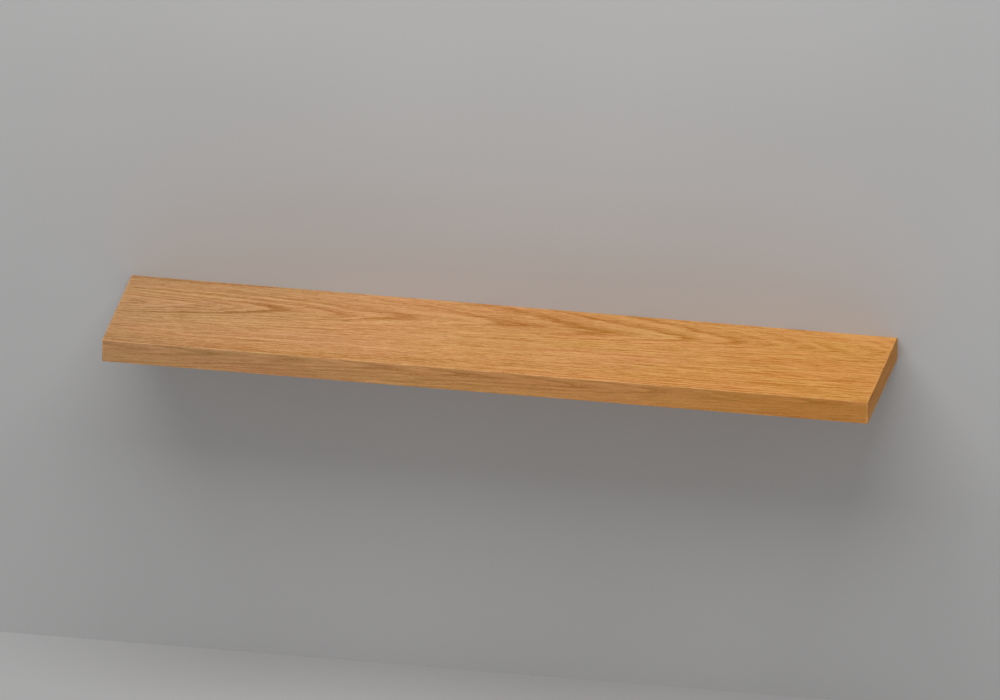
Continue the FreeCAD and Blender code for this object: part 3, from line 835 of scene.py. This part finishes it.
def angles(count, *doubled):
    """Even angles round a turn, with a close pair on each side of some of them."""
    even = {math.tau * number / count for number in range(count)}
    for middle, half_width in doubled:
        for edge in (middle - half_width, middle + half_width):
            even |= {(edge - PAIR_ANGLE) % math.tau, (edge + PAIR_ANGLE) % math.tau}
    return sorted(even)


def base_of(node):
    """The middle of the underside of a node, and its height in millimetres."""
    low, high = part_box(node)
    middle = (low + high) / 2
    return Vector((middle.x, middle.y, low.z)), (high.z - low.z) / MM


def stand_in(piece, node, body):
    """The piece takes a CAD node's place on its body."""
    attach(piece, body)
    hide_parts(node)


def set_screw_column(angle, length):
    """A socket set screw's outline at one angle, from the socket's floor round to the cup's floor."""
    turn = angle / math.tau
    sixth = math.pi / 3
    hexagon = SOCKET_FLAT / math.cos(angle % sixth - sixth / 2)
    mouth = SOCKET_FLAT / math.cos(sixth / 2) + SOCKET_MOUTH
    rim = SCREW_RADIUS - CUP
    column = [(0.0, SOCKET_DEPTH + SOCKET_POINT), (SOCKET_FLAT * 0.9, SOCKET_DEPTH),
              (hexagon, SOCKET_DEPTH - SOCKET_STEP), (hexagon, mouth - hexagon + SOCKET_STEP), (mouth, 0.0)]
    for height in rise(0.0, length, SCREW_STEP):
        radius = helix(height, turn, SCREW_PITCH, SCREW_ROOT, SCREW_RADIUS, SCREW_ROOT_SHARE)
        low_limit = SCREW_RADIUS - SCREW_CHAMFER + height
        high_limit = rim + (length - height)
        column.append((min(radius, low_limit, high_limit), height))
    return column + [(rim - CUP_RIM, length), (rim * 0.5, length - CUP * 0.25), (0.0, length - CUP / 2)]


def slotted(line):
    """One side of an insert's outline, cut off at the floor of its driving slot."""
    floor_radius = min((height, radius) for radius, height in line if height >= SLOT_DEPTH)[1]
    return [(radius, height) if height >= SLOT_DEPTH else (floor_radius, SLOT_DEPTH)
            for radius, height in line]


def insert_column(angle, length):
    """A threaded insert's outline at one angle: up its coarse outside and down its fine inside."""
    turn = angle / math.tau
    outside, inside = [], []
    for height in rise(0.0, length, INSERT_STEP):
        radius = helix(height, turn, INSERT_PITCH, INSERT_ROOT, INSERT_CREST, INSERT_ROOT_SHARE)
        low_limit = INSERT_CREST - INSERT_CHAMFER + height
        high_limit = INSERT_CREST - INSERT_TAPER + (length - height)
        outside.append((min(radius, low_limit, high_limit), height))
    for height in rise(length, 0.0, SCREW_STEP):
        radius = helix(height, turn, SCREW_PITCH, INSERT_GROOVE, INSERT_BORE, SCREW_ROOT_SHARE)
        mouth = INSERT_GROOVE + INSERT_MOUTH - min(height, length - height)
        inside.append((max(radius, mouth), height))
    if min(abs(angle - middle) for middle in (*SLOT_MIDDLES, math.tau)) < SLOT_HALF_ANGLE:
        outside, inside = slotted(outside), slotted(inside)
    return outside + inside


def weld_column(angle):
    """A fillet weld's outline at one angle, from the plate up to the rod and back along its root.

    The bead swells unevenly round the rod, and is laid in scales that each start over the last.
    """
    column = []
    swell = 0.16 * math.sin(3 * angle + 0.7) + 0.1 * math.sin(7 * angle + 2.1)
    for row in range(WELD_ROWS):
        up = row / (WELD_ROWS - 1)
        bow = math.sin(math.pi * up)
        scale = (WELD_SCALES * angle / math.tau + 0.25 * math.sin(2 * angle) - 0.35 * bow) % 1.0
        bulge = 0.3 * bow + swell * (1 - up) + 0.26 * scale * (0.25 + 0.75 * bow)
        column.append((WELD_ROOT + (WELD_REACH - WELD_ROOT) * (1 - up) ** 1.2 + bulge * (1 - 0.6 * up),
                       WELD_HEIGHT * up + bulge * 0.6 * up))
    return column + [(WELD_ROOT, -WELD_SINK), (column[0][0], -WELD_SINK)]


def add_set_screw(side):
    """A set screw with its thread, socket and cup, in the place of its plain CAD solid."""
    node = f"{side}_locking_screw"
    base, length = base_of(node)
    finish = turned_metal(f"black_steel_{side}", node, BLACK_STEEL, SCREW_RADIUS)
    columns = [(angle, set_screw_column(angle, length)) for angle in angles(TURN_COLUMNS)]
    stand_in(grid(f"{side}_set_screw", columns, False, base, finish), node, f"{side}_lock")


def add_insert(side):
    """An insert with its threads and driving slot, in the place of its plain CAD solid."""
    node = f"{side}_threaded_insert"
    base, length = base_of(node)
    finish = turned_metal(f"brass_{side}", node, BRASS, INSERT_CREST)
    slots = [(middle, SLOT_HALF_ANGLE) for middle in SLOT_MIDDLES]
    columns = [(angle, insert_column(angle, length)) for angle in angles(TURN_COLUMNS, *slots)]
    stand_in(grid(f"{side}_wood_insert", columns, True, base, finish), node, "shelf")


def add_weld(rod):
    """The weld bead round a rod's root, over the plain collar of the CAD solid."""
    name = rod.replace("support_rod", "weld")
    columns = [(angle, weld_column(angle)) for angle in angles(WELD_SCALES * COLUMNS_IN_A_SCALE)]
    bead = grid(name, columns, True, root_of(rod), weld_metal(f"steel_{name}"), tilt=math.pi / 2)
    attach(bead, "bracket")


for side in ("left", "right"):
    add_set_screw(side)
    add_insert(side)
for rod in RODS:
    add_weld(rod)


# The stage: a wall and a floor.
WALL_GAP = 0.0003
FLOOR_DROP = 0.52
STAGE_REACH = 6.0
WALL_SHADE = paint(179, 179, 179)
FLOOR_SEEN, FLOOR_LIT = paint(168, 168, 168), paint(192, 192, 192)
WHITE = paint(255, 255, 255)


def stage_finish(name, seen, lit):
    """Matt paint, clear from behind. The camera and gloss see one shade of it, and the light another."""
    finish = Finish(name)
    grit = finish.noise(finish.place, (1.5, 1.5, 1.5), detail=2)
    cloud = finish.noise(finish.place, (400, 400, 400), detail=1)
    ray = finish.nodes.new("ShaderNodeLightPath").outputs
    by_sight = finish.math("MAXIMUM", ray["Is Glossy Ray"], ray["Is Transmission Ray"])
    colour = finish.blend(finish.math("MAXIMUM", ray["Is Camera Ray"], by_sight), lit, seen)
    colour = finish.blend(finish.times(finish.fit(cloud, 0.3, 0.7), 0.04), colour, WHITE)
    skin = finish.skin(colour, finish.fit(grit, 0.3, 0.7, 0.8, 0.95), finish.bump(grit, 0.05))
    clear = finish.nodes.new("ShaderNodeBsdfTransparent").outputs[0]
    behind = finish.nodes.new("ShaderNodeNewGeometry").outputs["Backfacing"]
    mixed = finish.nodes.new("ShaderNodeMixShader")
    for socket, source in zip(mixed.inputs, (behind, skin, clear)):
        finish.links.new(source, socket)
    return finish.close(mixed.outputs[0])


def stage_plane(name, corners, material):
    """A plane of the stage, which isn't part of the shelf."""
    mesh = bpy.data.meshes.new(name)
    mesh.from_pydata(corners, [], [(0, 1, 2, 3)])
    mesh.materials.append(material)
    plane = bpy.data.objects.new(name, mesh)
    bpy.context.scene.collection.objects.link(plane)
    return plane


def add_wall(floor_height):
    """The wall, just behind the shelf. It throws no light and no shadow on anything."""
    corners = [(-STAGE_REACH, WALL_GAP, floor_height), (STAGE_REACH, WALL_GAP, floor_height),
               (STAGE_REACH, WALL_GAP, STAGE_REACH), (-STAGE_REACH, WALL_GAP, STAGE_REACH)]
    wall = stage_plane("wall", corners, stage_finish("wall_paint", WALL_SHADE, WALL_SHADE))
    wall.visible_diffuse = False
    wall.visible_glossy = False
    wall.visible_shadow = False


def add_floor(floor_height):
    """The floor under the shelf, which takes its shadow and lights its underside."""
    corners = [(-STAGE_REACH, -STAGE_REACH, floor_height), (STAGE_REACH, -STAGE_REACH, floor_height),
               (STAGE_REACH, STAGE_REACH, floor_height), (-STAGE_REACH, STAGE_REACH, floor_height)]
    stage_plane("floor", corners, stage_finish("floor_paint", FLOOR_SEEN, FLOOR_LIT))


floor_height = box_of_cad[1].z - FLOOR_DROP
add_wall(floor_height)
add_floor(floor_height)


# The camera and the light.
AZIMUTH = math.radians(10.92)
ELEVATION = math.radians(25.08)
VIEW_WIDTH = 1.282
CAMERA_RANGE = 4.0
AIM = Vector((0.00208, -0.10862, 0.0035))
WORLD_STRENGTH = 0.42


def add_camera():
    """The photo's view, with parallel lines of sight."""
    back = Vector((math.sin(AZIMUTH) * math.cos(ELEVATION), -math.cos(AZIMUTH) * math.cos(ELEVATION),
                   math.sin(ELEVATION)))
    camera = bpy.data.objects.new("camera", bpy.data.cameras.new("camera"))
    camera.data.type = "ORTHO"
    camera.data.ortho_scale = VIEW_WIDTH
    camera.location = AIM + back * CAMERA_RANGE
    camera.rotation_euler = (-back).to_track_quat("-Z", "Y").to_euler()
    bpy.context.scene.collection.objects.link(camera)
    bpy.context.scene.camera = camera


def add_lamp(name, place, aim, sides, watts):
    """An area lamp with these sides in metres, turned towards a point."""
    light = bpy.data.lights.new(name, "AREA")
    light.shape = "RECTANGLE"
    light.size, light.size_y = sides
    light.energy = watts
    holder = bpy.data.objects.new(name, light)
    holder.location = place
    holder.rotation_euler = (Vector(aim) - Vector(place)).to_track_quat("-Z", "Y").to_euler()
    bpy.context.scene.collection.objects.link(holder)


def add_world():
    """Even white light from all round."""
    world = bpy.data.worlds.new("studio")
    world.use_nodes = True
    background = world.node_tree.nodes["Background"]
    background.inputs["Color"].default_value = (1, 1, 1, 1)
    background.inputs["Strength"].default_value = WORLD_STRENGTH
    bpy.context.scene.world = world


add_camera()
add_lamp("key", place=(-0.1, -1.35, 2.5), aim=(0, -0.1, 0), sides=(2.8, 2.0), watts=72)
add_world()
bpy.context.scene.view_settings.view_transform = "Standard"
